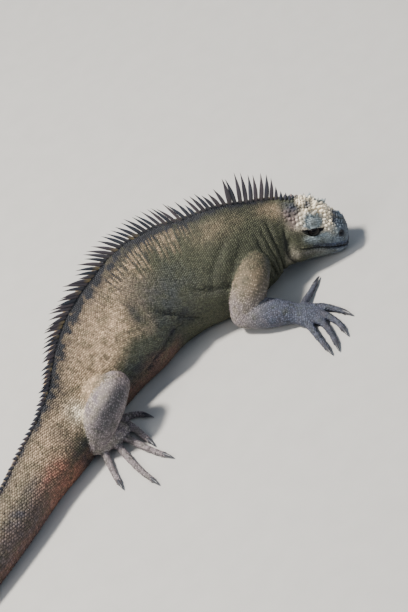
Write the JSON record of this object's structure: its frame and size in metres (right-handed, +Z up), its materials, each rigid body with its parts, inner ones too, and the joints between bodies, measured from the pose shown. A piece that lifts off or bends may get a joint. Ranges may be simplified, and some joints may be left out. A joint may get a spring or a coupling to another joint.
{
  "type": "marine iguana",
  "caption": "Life-size still model of a marine iguana lying at rest, body curved, limbs spread, with a crest of spines from nape to tail.",
  "frame": {"origin": "point on the flat of the belly where it lies on the floor, under the middle of the trunk", "axes": "+X along the floor towards the head, +Y to the animal's left, +Z up"},
  "size_m": [0.8303, 0.4039, 0.1379],
  "materials": {
    "head_scales": "rough, crusted with salt",
    "neck_skin": "dry, finely scaled",
    "flank_scales": "dry, granular",
    "tail_scales": "dry, in rings of keeled scales",
    "limb_scales": "dry, finely scaled",
    "claw_horn": "dark horn, smooth and slightly worn",
    "eye": "wet, glossy"
  },
  "bodies": {
    "root": {"eye_left": "eye", "eye_right": "eye", "foot_left": "limb_scales", "foot_left_claw_1": "claw_horn", "foot_left_claw_2": "claw_horn", "foot_left_claw_3": "claw_horn", "foot_left_claw_4": "claw_horn", "foot_left_claw_5": "claw_horn", "foot_right": "limb_scales", "foot_right_claw_1": "claw_horn", "foot_right_claw_2": "claw_horn", "foot_right_claw_3": "claw_horn", "foot_right_claw_4": "claw_horn", "foot_right_claw_5": "claw_horn", "forearm_left": "limb_scales", "forearm_right": "limb_scales", "hand_left": "limb_scales", "hand_left_claw_1": "claw_horn", "hand_left_claw_2": "claw_horn", "hand_left_claw_3": "claw_horn", "hand_left_claw_4": "claw_horn", "hand_left_claw_5": "claw_horn", "hand_right": "limb_scales", "hand_right_claw_1": "claw_horn", "hand_right_claw_2": "claw_horn", "hand_right_claw_3": "claw_horn", "hand_right_claw_4": "claw_horn", "hand_right_claw_5": "claw_horn", "head": "head_scales", "neck": "neck_skin", "shank_left": "limb_scales", "shank_right": "limb_scales", "tail_1": "tail_scales", "tail_2": "tail_scales", "tail_3": "tail_scales", "tail_4": "tail_scales", "tail_5": "tail_scales", "thigh_left": "limb_scales", "thigh_right": "limb_scales", "torso_front": "flank_scales", "torso_middle": "flank_scales", "torso_rear": "flank_scales", "upper_arm_left": "limb_scales", "upper_arm_right": "limb_scales"}
  },
  "joints": []
}
